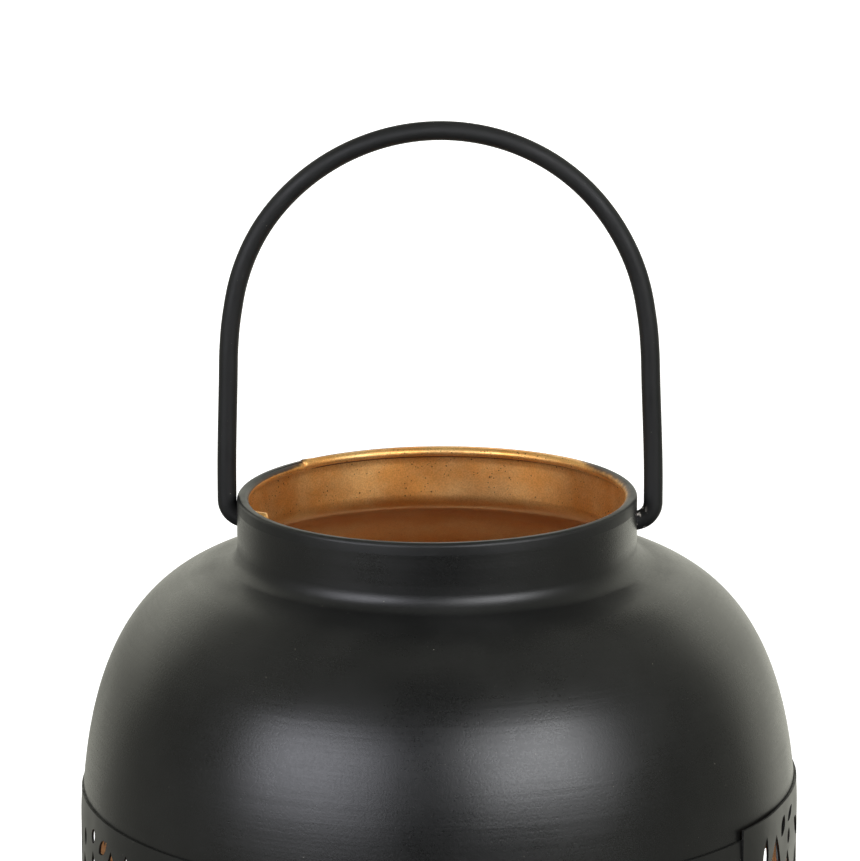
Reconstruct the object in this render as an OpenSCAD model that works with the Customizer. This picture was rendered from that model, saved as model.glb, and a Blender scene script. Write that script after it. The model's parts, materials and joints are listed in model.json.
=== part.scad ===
// Candle lantern: a spun dome with a neck, a pierced band, a bowl-shaped base and a swinging wire bail.
// Millimetres. +Z is up, the origin is under the middle of the base, and -Y is the front.
// Angles round the body are turned to the right from the front, seen from above as +X is to the right.

/* [Body] */
// Outer diameter of the pierced band, the widest part
band_d = 190; // [185:1:195]
// Height of the lantern from the pads to the top of the neck
rim_z = 204; // [200:1:208]
// Depth from the top of the neck to the top edge of the band
dome_drop = 76; // [74:1:78]
// Height of the pierced band
band_h = 80; // [78:1:84]
// Thickness of the steel sheet
sheet_t = 0.6; // [0.5:0.05:0.8]
// Depth that the dome and the base reach into the band
lap_depth = 8; // [6:0.5:10]

/* [Neck] */
// Outer diameter of the neck
neck_d = 105; // [103:0.5:107]
// Radius of the hollow corner between neck and dome
neck_fillet_r = 5; // [4:0.25:5.5]
// Diameter of the wire ring inside the mouth
rim_wire_d = 2.5; // [2:0.1:2.8]
// Gap between the ring's two ends, in degrees
rim_gap = 0.8; // [0.4:0.1:2]
// Where the ring's ends meet, in degrees from the front
rim_joint_at = -133; // [-175:1:-100]

/* [Bail] */
// Diameter of the bail's wire
bail_wire_d = 5; // [4.5:0.1:5.2]
// Distance between the middles of the two legs
bail_w = 111.2; // [111.2:0.1:112]
// Height of the arch's middle line above the pivot
bail_rise = 103.4; // [98:0.2:110]
// Depth of the pivot holes below the top of the neck
pivot_drop = 7; // [6.8:0.1:7.4]
// Radius of the bends at the feet of the legs, at the wire's middle
hook_r = 4.7; // [4.5:0.1:4.8]
// Space all round the wire in its holes
pivot_clearance = 0.9; // [0.85:0.05:1]
// How far the wire's left end reaches inside the neck
stub_left = 7; // [5:0.5:7.5]
// How far the wire's right end reaches inside the neck
stub_right = 2.5; // [2:0.5:7.5]

/* [Base] */
// Radius of the flat foot
foot_r = 62; // [58:1:66]
// Thickness of the pads under the foot
pad_t = 1.5; // [1:0.1:2]
// Diameter of each pad
pad_d = 14; // [10:1:16]
// Number of pads
pad_count = 4; // [3:1:6]

/* [Candle plate] */
// Outer diameter of the candle plate
plate_d = 92; // [84:1:100]
// Height of the plate's rim
plate_h = 6; // [4:0.5:9]

/* [Piercing] */
// Number of equal panels round the band
panels = 6; // [6:1:6]
// Where the first panel starts, in degrees from the front
pattern_turn = 1.5; // [0:0.5:6]
// Where the band's ends lap, in degrees from the first panel's start
seam_at = 54.6; // [54.4:0.1:54.8]
// Width of the lap and of the plain strip beside it, in degrees
seam_strip = 5; // [4.6:0.1:5.2]

/* [Hidden] */
$fn = 96;

black_paint = [0.10, 0.10, 0.10];
copper_paint = [0.66, 0.42, 0.24];
pad_rubber = [0.16, 0.16, 0.16];

band_r = band_d / 2;
band_top = rim_z - dome_drop;
band_bottom = band_top - band_h;
skirt_r = band_r - sheet_t;
neck_r = neck_d / 2;
pivot_z = rim_z - pivot_drop;
leg_x = bail_w / 2;
arch_z = pivot_z + bail_rise - leg_x;
panel_angle = 360 / panels;
cut = 4;

// The dome's outline is a superellipse round a point below the band's top edge.
dome_centre_z = rim_z - dome_drop - 26;
dome_rise = 86.5;
dome_power_z = 2.55;
dome_power_r = 4.85;
dome_steps = 26;
dome_start = asin(pow((band_top - dome_centre_z) / dome_rise, dome_power_z / 2));
dome_equator_r = skirt_r / pow(cos(dome_start), 2 / dome_power_r);

function dome_point(t) = [
    dome_equator_r * pow(cos(t), 2 / dome_power_r),
    dome_centre_z + dome_rise * pow(sin(t), 2 / dome_power_z)
];

// The hollow corner is an arc that leaves the neck upright and ends where it is this far round.
fillet_turn = 78;
fillet_steps = 6;
dome_end = 73.7;
fillet_centre = [
    neck_r + neck_fillet_r,
    dome_point(dome_end)[1] + neck_fillet_r * sin(fillet_turn)
];

function fillet_point(a) = fillet_centre + neck_fillet_r * [-cos(a), -sin(a)];

// The bowl's outline is a quarter superellipse from the band down to the flat foot.
bowl_power = 2.3;
bowl_steps = 16;
bowl_h = band_bottom - pad_t;

function bowl_point(t) = [
    foot_r + (skirt_r - foot_r) * pow(cos(t), 2 / bowl_power),
    band_bottom - bowl_h * pow(sin(t), 2 / bowl_power)
];

// An outline of sheet metal: the path is the outer face, and the inner face is sheet_t to its right.
function heading(path, i) =
    let (a = path[max(i - 1, 0)], b = path[min(i + 1, len(path) - 1)]) (b - a) / norm(b - a);
function inner_point(path, i) = path[i] + sheet_t * [heading(path, i)[1], -heading(path, i)[0]];
function inner_path(path) = [for (i = [len(path) - 1 : -1 : 0]) inner_point(path, i)];

module spun_sheet(path) {
    rotate_extrude() polygon(concat(path, inner_path(path)));
}

// A leaf-shaped hole: where two equal circles cross. It stands upright before it is turned.
module leaf(length, width) {
    leaf_r = (length * length + width * width) / (4 * width);
    intersection() {
        translate([leaf_r - width / 2, 0]) circle(r = leaf_r);
        translate([width / 2 - leaf_r, 0]) circle(r = leaf_r);
    }
}

// A flat leaf cut straight through the band's wall, this far round and below the top edge.
module leaf_cut(angle, drop, length, width, lean) {
    rotate([0, 0, angle])
        translate([0, cut - band_r, band_top - drop])
            rotate([90, 0, 0])
                linear_extrude(2 * cut)
                    rotate([0, 0, -lean])
                        leaf(length, width);
}

// The upper leaves of one panel, placed by eye: [degrees, drop, length, width, lean to the right].
upper_leaves = [
    [1.7, 11, 12, 3.2, 6],
    [6, 24, 35, 12, 3],
    [10.3, 6, 6, 3.4, 30],
    [14.8, 4.7, 6.5, 2.4, 62],
    [13.9, 10.4, 4.4, 2.6, 12],
    [13.6, 21, 14.5, 4.6, -6],
    [21.4, 11.2, 11, 4.4, -55],
    [19.6, 25, 19, 6, 14],
    [28.2, 21.5, 30, 11, -8],
    [33, 6.2, 5, 3, -20],
    [35.6, 20, 24, 6.5, 10],
    [42.6, 9.4, 5.6, 2.8, 10],
    [42.4, 24, 20, 7, -12],
    [48.4, 6.4, 4.6, 3, 20],
    [48.6, 19.5, 18, 5.4, -6],
    [53.2, 7.2, 7.6, 3.4, 52],
    [57.2, 24, 35, 12, -3],
    [1.7, 37.4, 9, 3, 0],
    [12.5, 36, 11.5, 4.6, 16],
    [22.8, 38, 10, 4.4, -24],
    [35.4, 38.4, 12, 4.6, 22],
    [50, 35.8, 10, 4, -12]
];
// Lower leaves stand in rows, leaning right and left in turn: [drop, length, width, lean].
leaning_rows = [[53, 21, 8, 25], [69.5, 12, 5, -34]];
// Small upright leaves fill the rows' wide gaps, every other time: [drop, length, width, first gap].
filler_rows = [[46.6, 9, 4.2, 1], [59.4, 11, 4.6, 1], [60.6, 10, 4.4, 0]];
lower_count = 6;
lower_pitch = panel_angle / lower_count;

// Leaves that would cross the lapped ends are left out, so that the strip there stays plain.
seam_margin = 2;
function off_seam(angle) = abs(angle - seam_at - seam_strip / 2) > seam_strip / 2 + seam_margin;

module leaf_if_clear(angle, drop, length, width, lean) {
    if (off_seam(angle)) leaf_cut(angle, drop, length, width, lean);
}

module panel_cuts(start) {
    for (l = upper_leaves)
        leaf_if_clear(start + l[0], l[1], l[2], l[3], l[4]);
    for (row = leaning_rows)
        for (i = [0 : lower_count - 1])
            leaf_if_clear(start + (i + 0.5) * lower_pitch, row[0], row[1], row[2], (i % 2 == 0 ? 1 : -1) * row[3]);
    for (row = filler_rows)
        for (i = [row[3] : 2 : lower_count - 1])
            leaf_if_clear(start + i * lower_pitch, row[0], row[1], row[2], 0);
}

// Spun sheet, from the top of the neck down the dome to the skirt inside the band.
module top_dome() {
    path = concat(
        [[neck_r, rim_z]],
        [for (i = [0 : fillet_steps]) fillet_point(i * fillet_turn / fillet_steps)],
        [for (i = [0 : dome_steps]) dome_point(dome_end + (dome_start - dome_end) * i / dome_steps)],
        [[skirt_r, band_top - lap_depth]]
    );
    color(black_paint)
        difference() {
            spun_sheet(path);
            translate([-band_r, 0, pivot_z])
                rotate([0, 90, 0])
                    cylinder(h = band_d, d = bail_wire_d + 2 * pivot_clearance);
        }
}

// Round wire set inside the mouth to stiffen it, with its ends nearly touching at the back.
module rim_wire() {
    ring_r = neck_r - sheet_t - rim_wire_d / 2;
    color(copper_paint)
        rotate([0, 0, rim_joint_at - 90 + rim_gap / 2])
            translate([0, 0, rim_z - rim_wire_d / 2])
                rotate_extrude(angle = 360 - rim_gap)
                    translate([ring_r, 0]) circle(d = rim_wire_d);
}

// One side of the bail: the leg, its hook, and the stub that reaches through the neck.
module bail_side(stub_inside) {
    stub_end = neck_r - sheet_t - stub_inside;
    bend_x = leg_x - hook_r;
    bend_z = pivot_z + hook_r;
    translate([leg_x, 0, bend_z])
        cylinder(h = arch_z - bend_z, d = bail_wire_d);
    translate([bend_x, 0, bend_z])
        rotate([90, 0, 0])
            rotate([0, 0, -90])
                rotate_extrude(angle = 90)
                    translate([hook_r, 0]) circle(d = bail_wire_d);
    translate([stub_end, 0, pivot_z])
        rotate([0, 90, 0])
            cylinder(h = bend_x - stub_end, d = bail_wire_d);
}

// Wire bail: a half-round arch on two straight legs, hooked through the neck.
module bail_handle() {
    color(black_paint)
        union() {
            translate([0, 0, arch_z])
                rotate([90, 0, 0])
                    rotate_extrude(angle = 180)
                        translate([leg_x, 0]) circle(d = bail_wire_d);
            bail_side(stub_right);
            mirror([1, 0, 0]) bail_side(stub_left);
        }
}

// Pierced sheet rolled into a band. Its right-hand end laps over the left-hand one.
module pierced_band() {
    color(black_paint)
        difference() {
            union() {
                translate([0, 0, band_bottom])
                    difference() {
                        cylinder(h = band_h, r = band_r);
                        translate([0, 0, -cut]) cylinder(h = band_h + 2 * cut, r = skirt_r);
                    }
                translate([0, 0, band_bottom])
                    rotate([0, 0, pattern_turn + seam_at - 90])
                        rotate_extrude(angle = seam_strip)
                            translate([band_r - sheet_t / 2, 0])
                                square([1.5 * sheet_t, band_h]);
            }
            rotate([0, 0, pattern_turn])
                for (p = [0 : panels - 1]) panel_cuts(p * panel_angle);
        }
}

// Spun bowl that closes the bottom, with a short skirt inside the band and a flat foot.
module base_bowl() {
    path = concat(
        [[skirt_r, band_bottom + lap_depth]],
        [for (i = [0 : bowl_steps]) bowl_point(90 * i / bowl_steps)],
        [[0, pad_t]]
    );
    inner = inner_path(path);
    closed = concat(path, [[0, pad_t + sheet_t]], [for (i = [1 : len(inner) - 1]) inner[i]]);
    color(black_paint)
        rotate_extrude() polygon(closed);
}

// Shallow dish that the candle stands on, welded to the middle of the base.
module candle_plate() {
    floor_z = pad_t + sheet_t;
    plate_r = plate_d / 2;
    flare = 3;
    color(copper_paint)
        translate([0, 0, floor_z])
            rotate_extrude()
                polygon([
                    [0, 0],
                    [plate_r - flare, 0],
                    [plate_r, plate_h],
                    [plate_r - sheet_t, plate_h],
                    [plate_r - flare - sheet_t / 2, sheet_t],
                    [0, sheet_t]
                ]);
}

// Round pads stuck under the foot.
module foot_pads() {
    pad_ring_r = foot_r - pad_d / 2 - 4;
    color(pad_rubber)
        for (i = [0 : pad_count - 1])
            rotate([0, 0, (i + 0.5) * 360 / pad_count])
                translate([pad_ring_r, 0, 0])
                    cylinder(h = pad_t, d = pad_d);
}

top_dome();
rim_wire();
bail_handle();
pierced_band();
base_bowl();
candle_plate();
foot_pads();
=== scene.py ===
"""Candle lantern: black and copper painted sheet metal with a pierced band and a wire bail.

Metres. +Z is up and the origin is under the middle of the base. Angles round the body are turned
to the right from the front, which is -Y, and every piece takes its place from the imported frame.
"""

import json
import math

import bmesh
import bpy
import numpy as np
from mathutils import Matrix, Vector


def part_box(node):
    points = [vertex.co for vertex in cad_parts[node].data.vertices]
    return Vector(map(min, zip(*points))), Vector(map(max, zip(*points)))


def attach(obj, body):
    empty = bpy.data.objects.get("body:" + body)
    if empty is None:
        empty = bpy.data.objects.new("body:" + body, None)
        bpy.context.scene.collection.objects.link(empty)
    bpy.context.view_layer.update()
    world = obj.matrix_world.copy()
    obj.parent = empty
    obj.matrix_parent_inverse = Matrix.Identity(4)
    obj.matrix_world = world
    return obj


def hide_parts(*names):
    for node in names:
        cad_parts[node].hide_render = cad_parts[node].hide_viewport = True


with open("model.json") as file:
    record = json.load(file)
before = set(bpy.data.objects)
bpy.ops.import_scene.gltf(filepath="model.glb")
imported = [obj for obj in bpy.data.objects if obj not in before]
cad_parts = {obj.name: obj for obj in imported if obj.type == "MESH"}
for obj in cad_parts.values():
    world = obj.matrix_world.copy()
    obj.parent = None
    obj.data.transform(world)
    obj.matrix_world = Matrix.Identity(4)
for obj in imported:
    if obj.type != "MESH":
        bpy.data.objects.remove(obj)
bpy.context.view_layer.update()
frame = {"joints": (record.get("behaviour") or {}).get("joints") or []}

MM = 0.001

# ---------------------------------------------------------------- sizes, from the frame

BAND_LOW, BAND_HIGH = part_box("pierced_band")
DOME_LOW, DOME_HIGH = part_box("top_dome")
RING_LOW, RING_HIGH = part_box("rim_wire")
_, BAIL_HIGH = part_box("bail_handle")
_, BOWL_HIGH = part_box("base_bowl")
PLATE_LOW, PLATE_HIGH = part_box("candle_plate")
_, PADS_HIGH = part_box("foot_pads")

SHEET = 0.6 * MM
BAND_R = BAND_HIGH.x
BAND_TOP = BAND_HIGH.z
BAND_BOTTOM = BAND_LOW.z
SKIRT_R = DOME_HIGH.x
RIM_Z = DOME_HIGH.z
NECK_R = 52.5 * MM
WIRE_R = 2.5 * MM
RING_WIRE_R = (RING_HIGH.z - RING_LOW.z) / 2
LEG_X = BAIL_HIGH.x - WIRE_R
PIVOT_Z = Vector(frame["joints"][0]["pos_m"]).z
HOOK_R = 5.0 * MM
PIVOT_CLEARANCE = 0.9 * MM
PAD_TOP = PADS_HIGH.z
# Height of the foot of the hollow corner between neck and dome.
FILLET_LOW = RIM_Z - 18.5 * MM

# The leaf pattern and the lap of the band, as in the CAD model.
PATTERN_TURN = 1.5
PANELS = 6
PANEL_ANGLE = 360 / PANELS
SEAM_AT = 54.6
SEAM_STRIP = 5.0
SEAM_MARGIN = 2.0
CUTS_PER_PANEL = 6


# ---------------------------------------------------------------- small helpers


def smooth(x):
    """0 below 0, 1 above 1, and an even ease between."""
    x = min(max(x, 0.0), 1.0)
    return x * x * (3 - 2 * x)


def polar(radius, angle, z):
    """A point at this radius and height, turned this many degrees to the right from the front."""
    a = math.radians(angle)
    return Vector((radius * math.sin(a), -radius * math.cos(a), z))


def add_object(name, mesh, *materials):
    obj = bpy.data.objects.new(name, mesh)
    bpy.context.scene.collection.objects.link(obj)
    for material in materials:
        mesh.materials.append(material)
    return obj


def mesh_from(name, points, faces, slots=None):
    """A mesh with smooth faces, and a material slot for each face."""
    mesh = bpy.data.meshes.new(name)
    mesh.from_pydata([tuple(p) for p in points], [], faces)
    if slots is not None:
        mesh.polygons.foreach_set("material_index", slots)
    mesh.polygons.foreach_set("use_smooth", [True] * len(mesh.polygons))
    mesh.update()
    return mesh


def sharpen(mesh, degrees):
    mesh.set_sharp_from_angle(angle=math.radians(degrees))


def face_outward(mesh):
    """Turns every face's normal outwards."""
    bm = bmesh.new()
    bm.from_mesh(mesh)
    bmesh.ops.recalc_face_normals(bm, faces=bm.faces)
    bm.to_mesh(mesh)
    bm.free()


def revolve(name, outline, segments, place=None):
    """A closed outline of (r, z, slot) points turned round Z.

    slot is the material of the strip that follows. place(r, angle, z) may move each point.
    Points on the axis are shared.
    """
    place = place or polar
    points, rings = [], []
    for r, z, _ in outline:
        if r < 1e-9:
            rings.append([len(points)] * segments)
            points.append(place(0.0, 0.0, z))
        else:
            rings.append(list(range(len(points), len(points) + segments)))
            points += [place(r, 360 * k / segments, z) for k in range(segments)]
    faces, slots = [], []
    for i, (_, _, slot) in enumerate(outline):
        a, b = rings[i], rings[(i + 1) % len(rings)]
        if a[0] == a[1] and b[0] == b[1]:
            continue
        for k in range(segments):
            n = (k + 1) % segments
            corners = [a[k], a[n], b[n], b[k]]
            faces.append(list(dict.fromkeys(corners)))
            slots.append(slot)
    mesh = mesh_from(name, points, faces, slots)
    face_outward(mesh)
    return mesh


def arc(centre, radius, start, end, steps):
    """Points of an arc in the (r, z) plane, from start to end degrees."""
    turn = [start + (end - start) * k / steps for k in range(steps + 1)]
    return [
        (centre[0] + radius * math.cos(math.radians(t)), centre[1] + radius * math.sin(math.radians(t)))
        for t in turn
    ]


def inset(path, depth):
    """The path moved depth to its right-hand side."""
    p = np.array(path)
    ahead = np.vstack([p[1:], p[-1:]]) - np.vstack([p[:1], p[:-1]])
    ahead /= np.linalg.norm(ahead, axis=1)[:, None]
    return [tuple(q) for q in p + depth * np.column_stack([ahead[:, 1], -ahead[:, 0]])]


def tube(name, path, radii, sides, closed=False):
    """A round wire along path, with a radius at each point. Its ends are flat, unless it is closed."""
    path = [Vector(p) for p in path]
    count = len(path)
    points, faces = [], []
    side = None
    for i, p in enumerate(path):
        before = path[i - 1] if closed or i else p
        after = path[(i + 1) % count] if closed or i < count - 1 else p
        ahead = (after - before).normalized()
        if side is None:
            side = ahead.orthogonal().normalized()
        side = (side - ahead * side.dot(ahead)).normalized()
        up = ahead.cross(side)
        for k in range(sides):
            a = 2 * math.pi * k / sides
            points.append(p + (side * math.cos(a) + up * math.sin(a)) * radii[i])
    for i in range(count - (0 if closed else 1)):
        n = (i + 1) % count
        for k in range(sides):
            m = (k + 1) % sides
            faces.append([i * sides + k, i * sides + m, n * sides + m, n * sides + k])
    if not closed:
        faces.append(list(range(sides))[::-1])
        faces.append([(count - 1) * sides + k for k in range(sides)])
    return mesh_from(name, points, faces)


def round_end(path, radii, steps=5):
    """path and radii with both ends rounded off, half as deep as a full half-round."""

    def cap(tip, inner, radius):
        out = (Vector(tip) - Vector(inner)).normalized()
        turns = [math.pi / 2 * k / steps for k in range(1, steps)]
        return [(Vector(tip) + out * radius * 0.5 * math.sin(t), radius * math.cos(t)) for t in turns]

    first = cap(path[0], path[1], radii[0])[::-1]
    last = cap(path[-1], path[-2], radii[-1])
    full = [p for p, _ in first] + [Vector(p) for p in path] + [p for p, _ in last]
    return full, [r for _, r in first] + list(radii) + [r for _, r in last]


# ---------------------------------------------------------------- materials


class Nodes:
    """A node tree with short calls to add and link nodes."""

    def __init__(self, tree, coordinates="Object"):
        self.tree = tree
        self.tree.nodes.clear()
        self.place = self.add("ShaderNodeTexCoord").outputs[coordinates]

    def add(self, kind, **settings):
        node = self.tree.nodes.new(kind)
        for key, value in settings.items():
            setattr(node, key, value)
        return node

    def link(self, a, b):
        self.tree.links.new(a, b)

    def math(self, operation, a, b=None, clamp=False):
        node = self.add("ShaderNodeMath", operation=operation, use_clamp=clamp)
        for socket, value in zip(node.inputs, (a, b)):
            if value is None:
                continue
            if isinstance(value, (int, float)):
                socket.default_value = value
            else:
                self.link(value, socket)
        return node.outputs[0]

    def stretched(self, x, y, z):
        """The object's coordinates, scaled apart along each axis."""
        node = self.add("ShaderNodeMapping")
        node.inputs["Scale"].default_value = (x, y, z)
        self.link(self.place, node.inputs["Vector"])
        return node.outputs[0]

    def noise(self, scale, detail=3.0, roughness=0.5, vector=None):
        node = self.add("ShaderNodeTexNoise")
        node.inputs["Scale"].default_value = scale
        node.inputs["Detail"].default_value = detail
        node.inputs["Roughness"].default_value = roughness
        self.link(vector or self.place, node.inputs["Vector"])
        return node.outputs["Fac"]

    def ramp(self, value, low, high, out_low=0.0, out_high=1.0, kind="SMOOTHSTEP"):
        node = self.add("ShaderNodeMapRange", interpolation_type=kind)
        limits = {"From Min": low, "From Max": high, "To Min": out_low, "To Max": out_high}
        for key, number in limits.items():
            node.inputs[key].default_value = number
        self.link(value, node.inputs["Value"])
        return node.outputs[0]

    def specks(self, scale, share, size, seed_shift=0.0):
        """1 inside a round speck. share is how many cells hold one, and size its radius in cells."""
        node = self.add("ShaderNodeTexVoronoi")
        node.inputs["Scale"].default_value = scale
        node.inputs["Randomness"].default_value = 1.0
        shift = self.add("ShaderNodeMapping")
        shift.inputs["Location"].default_value = (seed_shift, seed_shift * 0.7, seed_shift * 1.3)
        self.link(self.place, shift.inputs["Vector"])
        self.link(shift.outputs[0], node.inputs["Vector"])
        chosen = self.add("ShaderNodeSeparateColor")
        self.link(node.outputs["Color"], chosen.inputs["Color"])
        picked = self.math("LESS_THAN", chosen.outputs[0], share)
        inside = self.ramp(node.outputs["Distance"], size, size * 0.5)
        return self.math("MULTIPLY", picked, inside)

    def mix(self, factor, a, b):
        node = self.add("ShaderNodeMix", data_type="RGBA")
        self.link(factor, node.inputs["Factor"])
        for socket, value in ((node.inputs[6], a), (node.inputs[7], b)):
            if isinstance(value, tuple):
                socket.default_value = (*value, 1.0)
            else:
                self.link(value, socket)
        return node.outputs[2]

    def bump(self, height, distance, strength=1.0, below=None):
        node = self.add("ShaderNodeBump")
        node.inputs["Distance"].default_value = distance
        node.inputs["Strength"].default_value = strength
        self.link(height, node.inputs["Height"])
        if below is not None:
            self.link(below, node.inputs["Normal"])
        return node.outputs[0]

    def axes(self):
        parts = self.add("ShaderNodeSeparateXYZ")
        self.link(self.place, parts.inputs[0])
        return parts.outputs[0], parts.outputs[1], parts.outputs[2]

    def radius(self):
        """Distance from the Z axis."""
        x, y, _ = self.axes()
        return self.math("SQRT", self.math("ADD", self.math("MULTIPLY", x, x), self.math("MULTIPLY", y, y)))

    def toward(self, axis, low, high):
        """How far a place lies to one side, from low to high on this axis: 0 is X and 1 is Y."""
        node = self.add("ShaderNodeVectorMath", operation="NORMALIZE")
        self.link(self.place, node.inputs[0])
        parts = self.add("ShaderNodeSeparateXYZ")
        self.link(node.outputs[0], parts.inputs[0])
        return self.ramp(parts.outputs[axis], low, high)


class Paint(Nodes):
    """A material's nodes, round one principled shader."""

    def __init__(self, name, **values):
        self.material = bpy.data.materials.new(name)
        self.material.use_nodes = True
        super().__init__(self.material.node_tree)
        output = self.add("ShaderNodeOutputMaterial")
        self.shader = self.add("ShaderNodeBsdfPrincipled")
        self.link(self.shader.outputs["BSDF"], output.inputs["Surface"])
        for key, value in values.items():
            self.shader.inputs[key.replace("_", " ")].default_value = value

    def finish(self, colour=None, roughness=None, normal=None, metallic=None):
        linked = {"Base Color": colour, "Roughness": roughness, "Normal": normal, "Metallic": metallic}
        for name, value in linked.items():
            if value is not None:
                self.link(value, self.shader.inputs[name])
        return self.material


BLACK = (0.0048, 0.0050, 0.0048)
BLACK_WORN = (0.0076, 0.0078, 0.0074)
DUST = (0.11, 0.105, 0.085)
COPPER = (0.93, 0.445, 0.110)
COPPER_LIGHT = (1.0, 0.65, 0.260)
# Dark copper gives the darker flake, and also the painted shade below the neck.
COPPER_DARK_AND_SHADE = (0.48, 0.19, 0.038)
# The pinhole colour also serves as the painted shade line under the rim wire.
PINHOLE_AND_SHADE = (0.09, 0.036, 0.011)
OVERSPRAY = (0.12, 0.075, 0.050)
STEEL = (0.32, 0.30, 0.27)
EDGE_STEEL = (0.14, 0.12, 0.10)
RUBBER = (0.018, 0.018, 0.018)
RUBBER_WORN = (0.03, 0.03, 0.029)
COPPER_METALLIC = 0.88


def black_colour(n, dust_share=0.25):
    """The black paint's colour: faint clouds, and a few pale specks of dust."""
    clouds = n.ramp(n.noise(55, 4), 0.35, 0.7)
    base = n.mix(clouds, BLACK, BLACK_WORN)
    dust = n.specks(310, dust_share, 0.055)
    fine = n.specks(700, dust_share, 0.075, 3.1)
    return n.mix(n.math("MAXIMUM", dust, n.math("MULTIPLY", fine, 0.5)), base, DUST)


def black_spun():
    """Satin black paint over the spinning tool's fine rings. It is duller in the neck's corner."""
    n = Paint("black_spun", IOR=1.5)
    rings = n.noise(1.0, 4, 0.65, n.stretched(25, 25, 1900))
    broad = n.noise(1.0, 2, 0.5, n.stretched(6, 6, 380))
    grain = n.noise(1500, 3, 0.7)
    bump = n.bump(broad, 0.00009, 0.5)
    bump = n.bump(rings, 0.000012, 0.8, bump)
    bump = n.bump(grain, 0.00004, 0.8, bump)
    rough = n.ramp(n.noise(40, 3), 0.3, 0.7, 0.27, 0.33)
    streaks = n.math("ADD", n.ramp(rings, 0.3, 0.7, -0.012, 0.012), n.ramp(grain, 0.3, 0.7, -0.03, 0.03))
    _, _, z = n.axes()
    above = n.ramp(z, FILLET_LOW - 3 * MM, FILLET_LOW)
    corner = n.math("MULTIPLY", above, n.ramp(z, FILLET_LOW + 8 * MM, FILLET_LOW + 4 * MM, 0.0, 0.08))
    return n.finish(black_colour(n), n.math("ADD", n.math("ADD", rough, streaks), corner), bump)


def black_sheet():
    """Satin black paint on rolled sheet: grain only."""
    n = Paint("black_sheet", IOR=1.5)
    grain = n.noise(1900, 3, 0.6)
    waves = n.noise(90, 2, 0.5)
    bump = n.bump(grain, 0.00003, 0.5, n.bump(waves, 0.0002, 0.35))
    rough = n.ramp(n.noise(60, 3), 0.3, 0.7, 0.31, 0.41)
    return n.finish(black_colour(n, 0.35), rough, bump)


def black_wire():
    """Satin black paint on wire, rubbed to bare steel in places where the neck holds its right end."""
    n = Paint("black_wire", IOR=1.42)
    grain = n.noise(1500, 3, 0.6)
    drawn = n.noise(220, 2, 0.5)
    bump = n.bump(grain, 0.00004, 0.6, n.bump(drawn, 0.0001, 0.3))
    rough = n.ramp(n.noise(110, 3), 0.3, 0.7, 0.50, 0.62)
    x, _, z = n.axes()
    near_hole = n.math(
        "MULTIPLY",
        n.ramp(x, NECK_R + 2.4 * MM, NECK_R + 0.8 * MM),
        n.ramp(z, PIVOT_Z + 5 * MM, PIVOT_Z + 3 * MM),
    )
    rubbed = n.ramp(n.noise(520, 2, 0.6), 0.55, 0.60)
    worn = n.math("MULTIPLY", n.math("MULTIPLY", near_hole, n.ramp(x, 0, NECK_R)), rubbed)
    return n.finish(n.mix(worn, black_colour(n, 0.4), STEEL), rough, bump)


def copper_colour(n):
    """Copper paint: fine flake, soft clouds, dark pinholes that gather mostly in the neck, and painted
    shade that darkens it below the neck.
    """
    flake = n.ramp(n.noise(2400, 2, 0.6), 0.35, 0.65)
    clouds = n.ramp(n.noise(70, 4, 0.6), 0.3, 0.72)
    base = n.mix(clouds, COPPER, COPPER_LIGHT)
    base = n.mix(n.math("MULTIPLY", flake, 0.35), base, COPPER_DARK_AND_SHADE)
    holes = n.math("MAXIMUM", n.specks(560, 0.5, 0.17, 7.7), n.specks(1100, 0.6, 0.22, 1.9))
    gathered = n.ramp(n.noise(130, 2), 0.42, 0.62, 0.08, 1.0)
    _, _, z = n.axes()
    in_neck = n.ramp(z, RIM_Z - 17 * MM, RIM_Z - 13 * MM)
    # Painted shade: below the neck, deep inside the lantern, the copper is mixed half towards dark copper.
    base = n.mix(n.math("MULTIPLY", n.math("SUBTRACT", 1.0, in_neck), 0.5), base, COPPER_DARK_AND_SHADE)
    gathered = n.math("MULTIPLY", gathered, n.math("MAXIMUM", in_neck, 0.3))
    return n.mix(n.math("MULTIPLY", holes, gathered), base, PINHOLE_AND_SHADE)


def copper():
    """Copper paint, with a painted shade line where the rim wire meets the wall."""
    n = Paint("copper", IOR=1.45, Metallic=COPPER_METALLIC, Coat_Weight=0.3, Coat_Roughness=0.35)
    flake = n.noise(2600, 2, 0.6)
    bump = n.bump(flake, 0.00004, 0.5)
    rough = n.ramp(n.noise(90, 3), 0.3, 0.7, 0.36, 0.45)
    _, _, z = n.axes()
    # Painted shade: above a height just under the rim wire, the copper is mixed a fifth towards the pinhole
    # colour, where the crevice behind the wire is in shadow.
    crevice_shade = n.ramp(z, RIM_Z - 3.6 * MM, RIM_Z - 3.2 * MM, 0.0, 0.2)
    return n.finish(n.mix(crevice_shade, copper_colour(n), PINHOLE_AND_SHADE), rough, bump)


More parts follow.
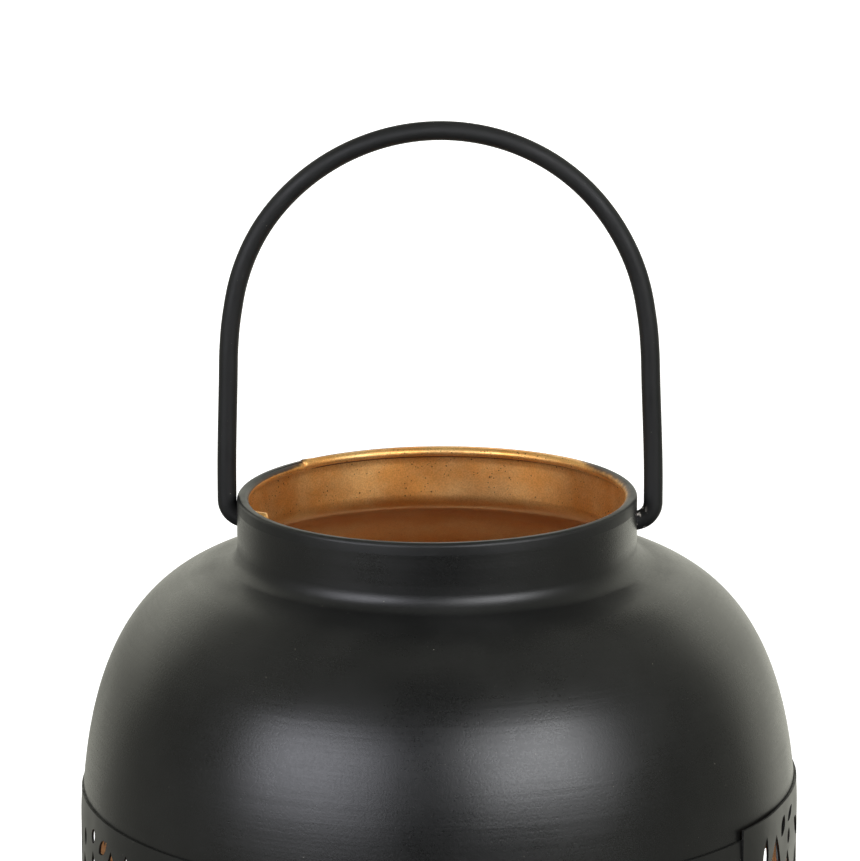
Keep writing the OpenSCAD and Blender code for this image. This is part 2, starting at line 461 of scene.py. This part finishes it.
def rim_paint():
    """Copper that turns black over the rim: at its outer edge at the back, further in elsewhere."""
    n = Paint("rim_paint", IOR=1.45)
    inner, outer = NECK_R - 1.0 * MM, NECK_R + 0.3 * MM
    ragged = n.math("MULTIPLY", n.math("SUBTRACT", n.noise(700, 4, 0.6), 0.5), 1.2 * MM)
    _, y, z = n.axes()
    black_reach = n.math(
        "ADD", n.ramp(y, 38 * MM, 27 * MM, 0.0, 2.2 * MM), n.ramp(y, 15 * MM, -35 * MM, 0.0, 0.25 * MM)
    )
    inside = n.ramp(n.radius(), NECK_R - 1.2 * MM, NECK_R - 1.6 * MM)
    low = n.ramp(z, RIM_Z - 1.0 * MM, RIM_Z - 2.0 * MM, 0.0, -3.0 * MM)
    under = n.math("MULTIPLY", inside, low)
    shift = n.math("ADD", black_reach, n.math("ADD", under, ragged))
    place = n.math("ADD", n.radius(), shift)
    out = n.ramp(place, inner, outer)
    near = n.ramp(place, inner - 0.9 * MM, inner + 0.4 * MM)
    colour = n.mix(near, copper_colour(n), OVERSPRAY)
    colour = n.mix(out, colour, black_colour(n))
    metallic = n.ramp(place, inner, outer, COPPER_METALLIC, 0.0)
    bump = n.bump(n.noise(2400, 2, 0.6), 0.00004, 0.5)
    rough = n.ramp(n.noise(90, 3), 0.3, 0.7, 0.40, 0.52)
    return n.finish(colour, rough, bump, metallic)


def cut_edge():
    """The sheet's cut edges: thin black paint with a little bare steel showing."""
    n = Paint("cut_edge", IOR=1.5)
    bare = n.ramp(n.noise(420, 4, 0.7), 0.62, 0.72)
    colour = n.mix(n.math("MULTIPLY", bare, 0.5), BLACK, EDGE_STEEL)
    rough = n.ramp(n.noise(300, 3), 0.3, 0.7, 0.40, 0.60)
    return n.finish(colour, rough, n.bump(n.noise(1500, 3), 0.00005, 0.6))


def pad_rubber():
    """Matt rubber with a fine mottle."""
    n = Paint("pad_rubber", IOR=1.45)
    colour = n.mix(n.ramp(n.noise(900, 3), 0.3, 0.7), RUBBER, RUBBER_WORN)
    rough = n.ramp(n.noise(500, 3), 0.3, 0.7, 0.7, 0.88)
    return n.finish(colour, rough, n.bump(n.noise(1400, 3), 0.00008, 0.7))


BLACK_SPUN = black_spun()
BLACK_SHEET = black_sheet()
BLACK_WIRE = black_wire()
COPPER_PAINT = copper()
RIM_PAINT = rim_paint()
CUT_EDGE = cut_edge()
PAD_RUBBER = pad_rubber()


# ---------------------------------------------------------------- the dome

# A superellipse round a point below the band's top edge, as in the CAD model.
DOME_CENTRE_Z = BAND_TOP - 26 * MM
DOME_RISE = 86.5 * MM
DOME_POWER_Z = 2.55
DOME_POWER_R = 4.85
DOME_END = 73.7
FILLET_R = 5 * MM
FILLET_TURN = 78
DOME_START = math.degrees(math.asin(((BAND_TOP - DOME_CENTRE_Z) / DOME_RISE) ** (DOME_POWER_Z / 2)))
# The dome's foot stands this far inside the band, which leaves a dark line along the band's edge.
GROOVE = 0.3 * MM
EQUATOR_R = (SKIRT_R - GROOVE) / math.cos(math.radians(DOME_START)) ** (2 / DOME_POWER_R)


def dome_point(t):
    c, s = math.cos(math.radians(t)), math.sin(math.radians(t))
    return (EQUATOR_R * c ** (2 / DOME_POWER_R), DOME_CENTRE_Z + DOME_RISE * s ** (2 / DOME_POWER_Z))


# The neck's top edge is turned in over the rim wire with this outside radius.
LIP_R = 1.1 * MM


def dome_path():
    """The dome's outer face, from under the neck's turned-in lip down to the end of the skirt."""
    _, end_z = dome_point(DOME_END)
    corner = (NECK_R + FILLET_R, end_z + FILLET_R * math.sin(math.radians(FILLET_TURN)))
    neck = [(NECK_R, RIM_Z - LIP_R - k * 2.0 * MM) for k in range(1, 6)]
    fillet = arc(corner, FILLET_R, 180, 180 + FILLET_TURN, 18)
    dome = [dome_point(DOME_END + (DOME_START - DOME_END) * k / 90) for k in range(1, 91)]
    skirt = [(SKIRT_R - GROOVE, DOME_LOW.z)]
    return neck + fillet + dome + skirt


# The neck leans a little: its mouth is higher on the right, and stands off the dome's axis.
RIM_TILT = math.radians(0.45)
NECK_SHIFT = -0.55 * MM


def rim_lean(radius, angle, z):
    """A point of the neck, moved with its slight lean and shift, which fade out at its foot."""
    point = polar(radius, angle, z)
    share = smooth((z - (RIM_Z - 12 * MM)) / (10 * MM))
    point.z += share * math.tan(RIM_TILT) * point.x
    point.x += NECK_SHIFT * smooth((z - FILLET_LOW) / (5 * MM))
    return point


def make_dome():
    outer = dome_path()
    inner = inset(outer, SHEET)[::-1]
    wire_top = (NECK_R - SHEET - RING_WIRE_R, RIM_Z - 0.03 * MM)
    lip = [wire_top] + arc((NECK_R - LIP_R, RIM_Z - LIP_R), LIP_R, 90, 0, 8)
    outline = (
        [(wire_top[0], RIM_Z - SHEET, 2)]
        + [(r, z, 2) for r, z in lip]
        + [(r, z, 0) for r, z in outer[:-1]]
        + [(*outer[-1], 3)]
        + [(r, z, 1) for r, z in inner[:-1]]
        + [(*inner[-1], 2)]
    )
    mesh = revolve("dome_shell", outline, 288, rim_lean)
    dome = add_object("dome_shell", mesh, BLACK_SPUN, COPPER_PAINT, RIM_PAINT, CUT_EDGE)
    drill_pivot_holes(dome)
    sharpen(dome.data, 50)
    return dome


def drill_pivot_holes(dome):
    """Both pivot holes, cut with one long drill."""
    hole_r = WIRE_R + PIVOT_CLEARANCE
    path = [(x * NECK_R, 0, PIVOT_Z) for x in (-1.2, 0, 1.2)]
    drill = add_object("drill", tube("drill", path, [hole_r] * 3, 40))
    cut = dome.modifiers.new("pivot_holes", "BOOLEAN")
    cut.operation = "DIFFERENCE"
    cut.solver = "EXACT"
    cut.object = drill
    apply_modifiers(dome)
    bpy.data.objects.remove(drill)


def apply_modifiers(obj):
    evaluated = obj.evaluated_get(bpy.context.evaluated_depsgraph_get())
    mesh = bpy.data.meshes.new_from_object(evaluated)
    obj.modifiers.clear()
    obj.data = mesh


# ---------------------------------------------------------------- the rim wire

RING_R = RING_HIGH.x - RING_WIRE_R
RING_JOINT_AT = -133.0
RING_GAP = 0.8


def make_ring():
    """Wire ring inside the mouth. One end sits higher at the joint, and both have a blob of weld."""
    steps = 300
    path, radii = [], []
    for k in range(steps + 1):
        turn = RING_GAP / 2 + (360 - RING_GAP) * k / steps
        angle = RING_JOINT_AT + turn
        to_first, to_last = turn, 360 - turn
        lift = 0.25 * MM * math.exp(-to_last / 24)
        drop = 0.25 * MM * math.exp(-to_first / 14)
        wave = 0.05 * MM * math.sin(math.radians(3 * angle + 40))
        swell = 0.25 * math.exp(-((to_last / 4.5) ** 2)) + 0.08 * math.exp(-((to_first / 2) ** 2))
        radius = RING_R + 0.04 * MM * math.sin(math.radians(4 * angle)) - 0.04 * MM
        point = rim_lean(radius, angle, RIM_Z - RING_WIRE_R - 0.08 * MM)
        point.z += lift - drop + wave
        path.append(point)
        radii.append(RING_WIRE_R * (1 + swell))
    path, radii = round_end(path, radii)
    return add_object("rim_ring", tube("rim_ring", path, radii, 24), RIM_PAINT)


# ---------------------------------------------------------------- the bail


# How far each end of the wire reaches inside the neck.
STUB_LEFT = 5.5 * MM
STUB_RIGHT = 2.5 * MM
# The arch is narrower than the feet of the legs, so the legs splay.
ARCH_R = LEG_X - 1.45 * MM
ARCH_MIDDLE_Z = BAIL_HIGH.z - WIRE_R - ARCH_R
SPLAY_BEND = 0.8 * MM
SPLAY_BELOW = 0.95 * MM
FOOT_X = ARCH_R + SPLAY_BEND + SPLAY_BELOW


def splay(z):
    """How far a leg stands out beyond the arch at this height: a bend, then a slow flare."""
    bend = smooth((ARCH_MIDDLE_Z + 9 * MM - z) / (16 * MM))
    return SPLAY_BEND * bend + SPLAY_BELOW * smooth((ARCH_MIDDLE_Z - z) / (40 * MM))


# The ends slope down into the neck by this many degrees.
HOOK_SLANT = 13.0


def bail_side(side, stub_inside):
    """Points from the end inside the neck, round the hook, to the top of the leg."""
    slant = math.radians(HOOK_SLANT)
    stub_end = NECK_R - SHEET - stub_inside
    bend_x, bend_z = FOOT_X - HOOK_R, PIVOT_Z + HOOK_R * math.cos(slant)
    bend = arc((bend_x, bend_z), HOOK_R, HOOK_SLANT - 90, 0, 14)
    hook_x, hook_z = bend[0]
    reach = hook_x - stub_end
    stub = [(hook_x - reach * k / 10, hook_z - reach * math.tan(slant) * k / 10) for k in range(10, 0, -1)]
    leg_steps = 30
    heights = [bend_z + (ARCH_MIDDLE_Z - bend_z) * k / leg_steps for k in range(1, leg_steps)]
    leg = [(ARCH_R + splay(z), z) for z in heights]
    return [(side * x, z) for x, z in stub + bend + leg]


def bail_lean(z):
    """The feet stand a little to the right of the legs' middle, and so does the arch's top."""
    feet = 0.2 * MM * smooth((ARCH_MIDDLE_Z - z) / (45 * MM))
    top = 0.6 * MM * smooth((z - ARCH_MIDDLE_Z - 25 * MM) / (30 * MM))
    return feet + top


def make_bail():
    left = bail_side(-1, STUB_LEFT)
    right = bail_side(1, STUB_RIGHT)[::-1]
    arch = [(x + math.copysign(splay(z), x), z) for x, z in arc((0, ARCH_MIDDLE_Z), ARCH_R, 180, 0, 90)]
    path = [(x + bail_lean(z), 0.0, z) for x, z in left + arch + right]
    ends = len(path) - 1
    radii = [WIRE_R * (1 + 0.06 * smooth(1 - min(i, ends - i) / 2.5)) for i in range(len(path))]
    path, radii = round_end(path, radii)
    mesh = tube("bail_wire", path, radii, 32)
    for face in mesh.polygons:
        inside = abs(face.center.x) < NECK_R - 2 * SHEET and face.center.z < PIVOT_Z + HOOK_R
        face.material_index = 1 if inside else 0
    return add_object("bail_wire", mesh, BLACK_WIRE, COPPER_PAINT)


# ---------------------------------------------------------------- the pierced band

# The upper leaves of one panel: degrees, drop, length, width and lean to the right, in millimetres.
UPPER_LEAVES = [
    (1.7, 11, 12, 3.2, 6),
    (6, 24, 35, 12, 3),
    (10.3, 6, 6, 3.4, 30),
    (14.8, 4.7, 6.5, 2.4, 62),
    (13.9, 10.4, 4.4, 2.6, 12),
    (13.6, 21, 14.5, 4.6, -6),
    (21.4, 11.2, 11, 4.4, -55),
    (19.6, 25, 19, 6, 14),
    (28.2, 21.5, 30, 11, -8),
    (33, 6.2, 5, 3, -20),
    (35.6, 20, 24, 6.5, 10),
    (42.6, 9.4, 5.6, 2.8, 10),
    (42.4, 24, 20, 7, -12),
    (48.4, 6.4, 4.6, 3, 20),
    (48.6, 19.5, 18, 5.4, -6),
    (53.2, 7.2, 7.6, 3.4, 52),
    (57.2, 24, 35, 12, -3),
    (1.7, 37.4, 9, 3, 0),
    (12.5, 36, 11.5, 4.6, 16),
    (22.8, 38, 10, 4.4, -24),
    (35.4, 38.4, 12, 4.6, 22),
    (50, 35.8, 10, 4, -12),
]
# Drop, length, width and lean of the rows that lean right and left in turn.
LEANING_ROWS = [(53, 21, 8, 25), (69.5, 12, 5, -34)]
# Drop, length, width and first gap of the small upright leaves between them.
FILLER_ROWS = [(46.6, 9, 4.2, 1), (59.4, 11, 4.6, 1), (60.6, 10, 4.4, 0)]


def off_seam(angle):
    return abs(angle - SEAM_AT - SEAM_STRIP / 2) > SEAM_STRIP / 2 + SEAM_MARGIN


def leaves():
    """Every leaf as (degrees from the first panel's start, drop, length, width, lean)."""
    pitch = PANEL_ANGLE / CUTS_PER_PANEL
    found = []
    for panel in range(PANELS):
        start = panel * PANEL_ANGLE
        found += [(start + l[0], *l[1:]) for l in UPPER_LEAVES]
        for drop, length, width, lean in LEANING_ROWS:
            for i in range(CUTS_PER_PANEL):
                side = 1 if i % 2 == 0 else -1
                found.append((start + (i + 0.5) * pitch, drop, length, width, side * lean))
        for drop, length, width, first in FILLER_ROWS:
            found += [(start + i * pitch, drop, length, width, 0) for i in range(first, CUTS_PER_PANEL, 2)]
    return [l for l in found if off_seam(l[0])]


def leaf_outline(length, width, steps=9):
    """The closed outline of an upright leaf, where two equal circles cross."""
    r = (length * length + width * width) / (4 * width)
    half = math.degrees(math.asin(length / 2 / r))
    right = arc((width / 2 - r, 0), r, -half, half, steps)
    left = arc((r - width / 2, 0), r, 180 - half, 180 + half, steps)
    return right[:-1] + left[:-1]


# The sheet is this much longer than one turn, so that its ends lap.
LAP = 7.0
SHEET_TURN = 360 + LAP
# The lapped end comes down to the band's own radius over this many degrees past the lap.
LAP_EASE = 9
# The rolled sheet has a crease every this many degrees, fine enough to look round.
CREASE = 2
# The sheet's length for one degree of turn.
DEGREE = math.radians(1) * BAND_R


def flat_sheet():
    """The band before rolling: x along the sheet from its upper lapped end, y above its foot."""
    height = BAND_TOP - BAND_BOTTOM
    curve = bpy.data.curves.new("flat_sheet", "CURVE")
    curve.dimensions = "2D"
    curve.fill_mode = "BOTH"

    def loop(points):
        spline = curve.splines.new("POLY")
        spline.points.add(len(points) - 1)
        for target, (x, y) in zip(spline.points, points):
            target.co = (x, y, 0, 1)
        spline.use_cyclic_u = True

    length = SHEET_TURN * DEGREE
    loop([(0, 0), (length, 0), (length, height), (0, height)])
    for angle, drop, leaf_length, width, lean in leaves():
        along = ((angle - SEAM_AT) % 360) * DEGREE
        a = math.radians(-lean)
        turned = []
        for x, y in leaf_outline(leaf_length * MM, width * MM):
            turned.append((
                along + x * math.cos(a) - y * math.sin(a),
                height - drop * MM + x * math.sin(a) + y * math.cos(a),
            ))
        loop(turned)
    holder = bpy.data.objects.new("flat_sheet", curve)
    bpy.context.scene.collection.objects.link(holder)
    evaluated = holder.evaluated_get(bpy.context.evaluated_depsgraph_get())
    mesh = bpy.data.meshes.new_from_object(evaluated)
    bpy.data.objects.remove(holder)
    return mesh


def sheet_radius(turn):
    """The outer radius at this many degrees from the upper lapped end: that end lies on the other one."""
    over = smooth(1 - (turn - LAP) / LAP_EASE)
    return BAND_R + SHEET * over


# The sheet was rolled a little out of line: its top edge drops along its length,
# and stands higher on the right.
TOP_LIFT = -1.2 * MM
HELIX = 2.8 * MM
BAND_TILT = 0.8 * MM
# Its top edge is pressed in against the dome.
TOP_PRESS = 0.26 * MM


def rolled(along, height, inset_by):
    """A point of the flat sheet after rolling, this far below its outer face."""
    turn = along / DEGREE
    angle = PATTERN_TURN + SEAM_AT + turn
    from_top = BAND_TOP - BAND_BOTTOM - height
    press = TOP_PRESS * smooth(1 - from_top / (7 * MM))
    point = polar(sheet_radius(turn) - inset_by - press, angle, BAND_BOTTOM + height)
    up = smooth(height / (BAND_TOP - BAND_BOTTOM))
    skew = TOP_LIFT + HELIX * (0.5 - turn / SHEET_TURN) + BAND_TILT * math.sin(math.radians(angle))
    point.z += up * skew
    return point


def make_band():
    mesh = flat_sheet()
    bm = bmesh.new()
    bm.from_mesh(mesh)
    for k in range(1, int(SHEET_TURN / CREASE) + 1):
        everything = bm.verts[:] + bm.edges[:] + bm.faces[:]
        here = (k * CREASE * DEGREE, 0, 0)
        bmesh.ops.bisect_plane(bm, geom=everything, plane_co=here, plane_no=(1, 0, 0), dist=1e-7)
    bmesh.ops.remove_doubles(bm, verts=bm.verts, dist=1e-6)
    bm.verts.index_update()
    bm.edges.index_update()
    flat = [v.co.copy() for v in bm.verts]
    facing = [[v.index for v in f.verts] for f in bm.faces]
    border = [[e.verts[0].index, e.verts[1].index] for e in bm.edges if len(e.link_faces) == 1]
    bm.free()
    count = len(flat)
    points = [rolled(p.x, p.y, 0.0) for p in flat] + [rolled(p.x, p.y, SHEET) for p in flat]
    faces = facing + [[i + count for i in f[::-1]] for f in facing]
    slots = [0] * len(facing) + [1] * len(facing)
    for a, b in border:
        faces.append([a, b, b + count, a + count])
        slots.append(2)
    done = mesh_from("pierced_sheet", points, faces, slots)
    face_outward(done)
    sharpen(done, 35)
    return add_object("pierced_sheet", done, BLACK_SHEET, COPPER_PAINT, CUT_EDGE)


# ---------------------------------------------------------------- the base, the plate and the pads

FOOT_R = 62 * MM
BOWL_POWER = 2.3
BOWL_STEPS = 48
PAD_COUNT = 4
PAD_R = 7 * MM
PAD_EDGE_R = 0.35 * MM
# The pads' middles stand on a circle of this radius.
PAD_RING_R = FOOT_R - PAD_R - 4 * MM


def make_bowl():
    """Spun bowl, copper inside, with a short skirt inside the band and a flat foot."""
    bowl_h = BAND_BOTTOM - PAD_TOP
    outer = [(SKIRT_R, BOWL_HIGH.z)]
    for k in range(BOWL_STEPS + 1):
        t = math.radians(90 * k / BOWL_STEPS)
        outer.append((
            FOOT_R + (SKIRT_R - FOOT_R) * math.cos(t) ** (2 / BOWL_POWER),
            BAND_BOTTOM - bowl_h * math.sin(t) ** (2 / BOWL_POWER),
        ))
    outer += [(FOOT_R - 2 * MM, PAD_TOP), (20 * MM, PAD_TOP)]
    inner = inset(outer, SHEET)[::-1]
    outline = (
        [(r, z, 0) for r, z in outer]
        + [(0.0, PAD_TOP, 1), (0.0, PAD_TOP + SHEET, 1)]
        + [(r, z, 1) for r, z in inner[:-1]]
        + [(*inner[-1], 2)]
    )
    mesh = revolve("bowl_shell", outline, 240)
    sharpen(mesh, 50)
    return add_object("bowl_shell", mesh, BLACK_SPUN, COPPER_PAINT, CUT_EDGE)


def make_plate():
    """Candle dish with a rolled lip and a pressed ring round the candle's place."""
    floor, top, radius = PLATE_LOW.z, PLATE_HIGH.z, PLATE_HIGH.x
    lip_r = 0.7 * MM
    base_r = radius - 3 * MM
    ring_r, ring_h = 30 * MM, 0.8 * MM
    under = [(0.0, floor), (ring_r + 4 * MM, floor), (base_r - 1 * MM, floor), (base_r, floor + 0.3 * MM)]
    lip = arc((radius - lip_r, top - lip_r), lip_r, -30, 200, 12)
    inside = [(base_r - 0.4 * MM, floor + 0.9 * MM), (base_r - 1.4 * MM, floor + SHEET)]
    ring = [
        (ring_r + 2 * MM * math.cos(math.radians(a)), floor + SHEET + ring_h * math.sin(math.radians(a)))
        for a in range(0, 181, 15)
    ]
    outline = [(r, z, 0) for r, z in under + lip + inside + ring] + [(0.0, floor + SHEET, 0)]
    mesh = revolve("candle_dish", outline, 180)
    sharpen(mesh, 50)
    return add_object("candle_dish", mesh, COPPER_PAINT)


def make_pads():
    """Round pads with softened edges."""
    lower = arc((PAD_R - PAD_EDGE_R, PAD_EDGE_R), PAD_EDGE_R, -90, 0, 5)
    upper = [(PAD_R, PAD_TOP - 0.1 * MM), (PAD_R - 0.1 * MM, PAD_TOP), (0.0, PAD_TOP)]
    outline = [(0.0, 0.0)] + lower + upper
    pads = []
    for i in range(PAD_COUNT):
        middle = polar(PAD_RING_R, 360 / PAD_COUNT * (i + 0.5), 0.0)

        def place(r, angle, z, middle=middle):
            return middle + polar(r, angle, z)

        mesh = revolve(f"foot_pad_{i + 1}", [(r, z, 0) for r, z in outline], 40, place)
        sharpen(mesh, 50)
        pads.append(add_object(f"foot_pad_{i + 1}", mesh, PAD_RUBBER))
    return pads


dome = make_dome()
ring = make_ring()
bail = make_bail()
band = make_band()
bowl = make_bowl()
plate = make_plate()
pads = make_pads()

for piece, body, node, slot in (
    (dome, "lantern", "top_dome", "black_paint"),
    (ring, "lantern", "rim_wire", "copper_paint"),
    (bail, "bail", "bail_handle", "black_wire"),
    (band, "lantern", "pierced_band", "black_paint"),
    (bowl, "lantern", "base_bowl", "black_paint"),
    (plate, "lantern", "candle_plate", "copper_paint"),
    *((pad, "lantern", "foot_pads", "pad_rubber") for pad in pads),
):
    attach(piece, body)
    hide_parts(node)


# ---------------------------------------------------------------- floor, lights and camera

CAMERA_TURN = 1.5
CAMERA_UP = 13.6
CAMERA_AWAY = 1.361
CAMERA_LENS = 217.6
AIM = Vector((-2.4 * MM, 0, RIM_Z + 16.8 * MM))

# What the lantern's paint mirrors: a dark studio in front, dim walls beside it,
# a faint ceiling, and a bright backdrop low down behind.
FRONT_GLOW = 0.03
LEFT_GLOW = 0.26
RIGHT_GLOW = 0.27
BACK_GLOW = 1.15
TOP_GLOW = 0.28
GLOW_TINT = (1.0, 1.0, 0.87)

WHITE = (1.0, 1.0, 1.0)
FLOOR_PALE = (0.86, 0.86, 0.86)
FLOOR_PALER = (0.88, 0.88, 0.88)
# The floor's colour to everything but the camera, so that it throws little light up at the lantern.
FLOOR_UNSEEN = (0.04, 0.04, 0.04)
FLOOR_HALF = 6.0


def surroundings(n):
    """The studio's glow at a place on the floor, or in a direction of the world."""
    _, _, z = n.axes()
    left = n.math("MULTIPLY", n.toward(0, -0.15, -0.65), LEFT_GLOW)
    right = n.math("MULTIPLY", n.toward(0, 0.15, 0.65), RIGHT_GLOW)
    beside = n.math("MULTIPLY", n.math("ADD", left, right), n.ramp(z, 0.2, 0.9, 0.9, 1.35))
    low = n.math("MULTIPLY", n.ramp(z, 0.2, 0.0), n.ramp(n.toward(0, -0.5, -0.05), 0, 1, 0.52, 0.92))
    backdrop = n.math("ADD", low, n.ramp(z, 0.0, 0.2, 0.0, 1.06))
    backdrop = n.math("MULTIPLY", backdrop, n.ramp(z, 0.7, 0.45))
    behind = n.math("MULTIPLY", n.toward(1, 0.25, 0.75), backdrop)
    glow = n.math("MAXIMUM", beside, n.math("MULTIPLY", behind, BACK_GLOW))
    off_left = n.math("MULTIPLY", n.toward(0, -0.06, -0.24), 0.75)
    off_middle = n.math("MAXIMUM", n.toward(0, 0.06, 0.24), off_left)
    slope = n.math("MULTIPLY", n.ramp(z, 0.62, 0.76), off_middle)
    ceiling = n.math("MAXIMUM", n.ramp(z, 0.94, 0.98), slope)
    glow = n.math("MAXIMUM", glow, n.math("MULTIPLY", ceiling, TOP_GLOW))
    return n.math("MAXIMUM", glow, FRONT_GLOW)


def make_floor():
    """Plain pale floor. Reflections see the studio's glow on it instead."""
    points = [(x * FLOOR_HALF, y * FLOOR_HALF, 0) for x, y in ((-1, -1), (1, -1), (1, 1), (-1, 1))]
    n = Paint("floor", Roughness=0.9, Specular_IOR_Level=0.0)
    seen = n.add("ShaderNodeLightPath").outputs["Is Camera Ray"]
    pale = n.mix(n.noise(3, 2), FLOOR_PALE, FLOOR_PALER)
    n.link(n.mix(seen, GLOW_TINT, WHITE), n.shader.inputs["Emission Color"])
    unseen_glow = n.math("MULTIPLY", surroundings(n), n.math("SUBTRACT", 1.0, seen))
    seen_glow = n.math("MULTIPLY", seen, n.ramp(n.radius(), 0.5, 1.8, 0.4, 1.0))
    n.link(n.math("MAXIMUM", unseen_glow, seen_glow), n.shader.inputs["Emission Strength"])
    colour = n.mix(seen, FLOOR_UNSEEN, pale)
    floor = add_object("floor", mesh_from("floor", points, [[0, 1, 2, 3]]), n.finish(colour))


def make_world():
    """White to the eye, and the studio's glow to reflections."""
    world = bpy.data.worlds.new("studio")
    bpy.context.scene.world = world
    world.use_nodes = True
    n = Nodes(world.node_tree, "Generated")
    seen = n.add("ShaderNodeLightPath").outputs["Is Camera Ray"]
    background = n.add("ShaderNodeBackground")
    n.link(n.mix(seen, GLOW_TINT, WHITE), background.inputs["Color"])
    n.link(n.math("MAXIMUM", surroundings(n), seen), background.inputs["Strength"])
    n.link(background.outputs[0], n.add("ShaderNodeOutputWorld").inputs["Surface"])


def area_light(name, turn, up, away, width, height, radiance, colour=WHITE):
    """A rectangular light that faces the dome. turn is to the right from the camera's side."""
    light = bpy.data.lights.new(name, "AREA")
    light.shape = "RECTANGLE"
    light.size, light.size_y = width, height
    light.energy = radiance * math.pi * width * height
    light.color = colour
    holder = bpy.data.objects.new(name, light)
    bpy.context.scene.collection.objects.link(holder)
    target = Vector((0, 0, BAND_TOP))
    out = polar(math.cos(math.radians(up)), CAMERA_TURN + turn, math.sin(math.radians(up)))
    holder.location = target + out * away
    holder.rotation_euler = (-out).to_track_quat("-Z", "Y").to_euler()
    holder.visible_camera = False
    return holder


# The lights' distance from the dome.
STUDIO_R = 1.6
# A softbox is three overlapping lights, with these shares of its width and height.
SOFTBOX_LAYERS = ((0.65, 0.88), (1.0, 1.0), (1.35, 1.12))


def softbox(name, turn, top, wide, high, radiance, colour):
    """A softbox that spans wide by high degrees. It fades towards its sides and foot, not its top."""
    for i, (across, down) in enumerate(SOFTBOX_LAYERS):
        width = 2 * STUDIO_R * math.tan(math.radians(wide * across / 2))
        height = 2 * STUDIO_R * math.tan(math.radians(high * down / 2))
        up = top - high * down / 2
        share = radiance / len(SOFTBOX_LAYERS)
        area_light(f"{name}_{i + 1}", turn, up, STUDIO_R, width, height, share, colour)


def make_lights():
    """A softbox on each side, a faint fill from the front, and an overhead light without a reflection."""
    softbox("left_box", turn=-42, top=34.3, wide=36, high=29, radiance=5.8, colour=(0.90, 0.91, 1.0))
    softbox("right_box", turn=33.7, top=39.5, wide=36, high=29.5, radiance=6.8, colour=(0.95, 0.96, 1.0))
    area_light("front_fill", 0, 24, STUDIO_R, width=1.5, height=0.6, radiance=0.2, colour=(0.82, 0.86, 1.0))
    overhead = area_light("overhead", 0, 88, away=2.0, width=2.2, height=1.8, radiance=3.0)
    overhead.visible_glossy = False


def make_camera():
    """A long lens that looks down at the lantern's upper part."""
    camera = bpy.data.cameras.new("camera")
    camera.lens = CAMERA_LENS
    camera.sensor_width = 36
    camera.clip_start, camera.clip_end = 0.05, 50
    holder = bpy.data.objects.new("camera", camera)
    bpy.context.scene.collection.objects.link(holder)
    up = math.radians(CAMERA_UP)
    out = polar(math.cos(up), CAMERA_TURN, math.sin(up))
    holder.location = AIM + out * CAMERA_AWAY
    holder.rotation_euler = (-out).to_track_quat("-Z", "Y").to_euler()
    bpy.context.scene.camera = holder


make_floor()
make_world()
make_lights()
make_camera()
bpy.context.scene.view_settings.view_transform = "Standard"
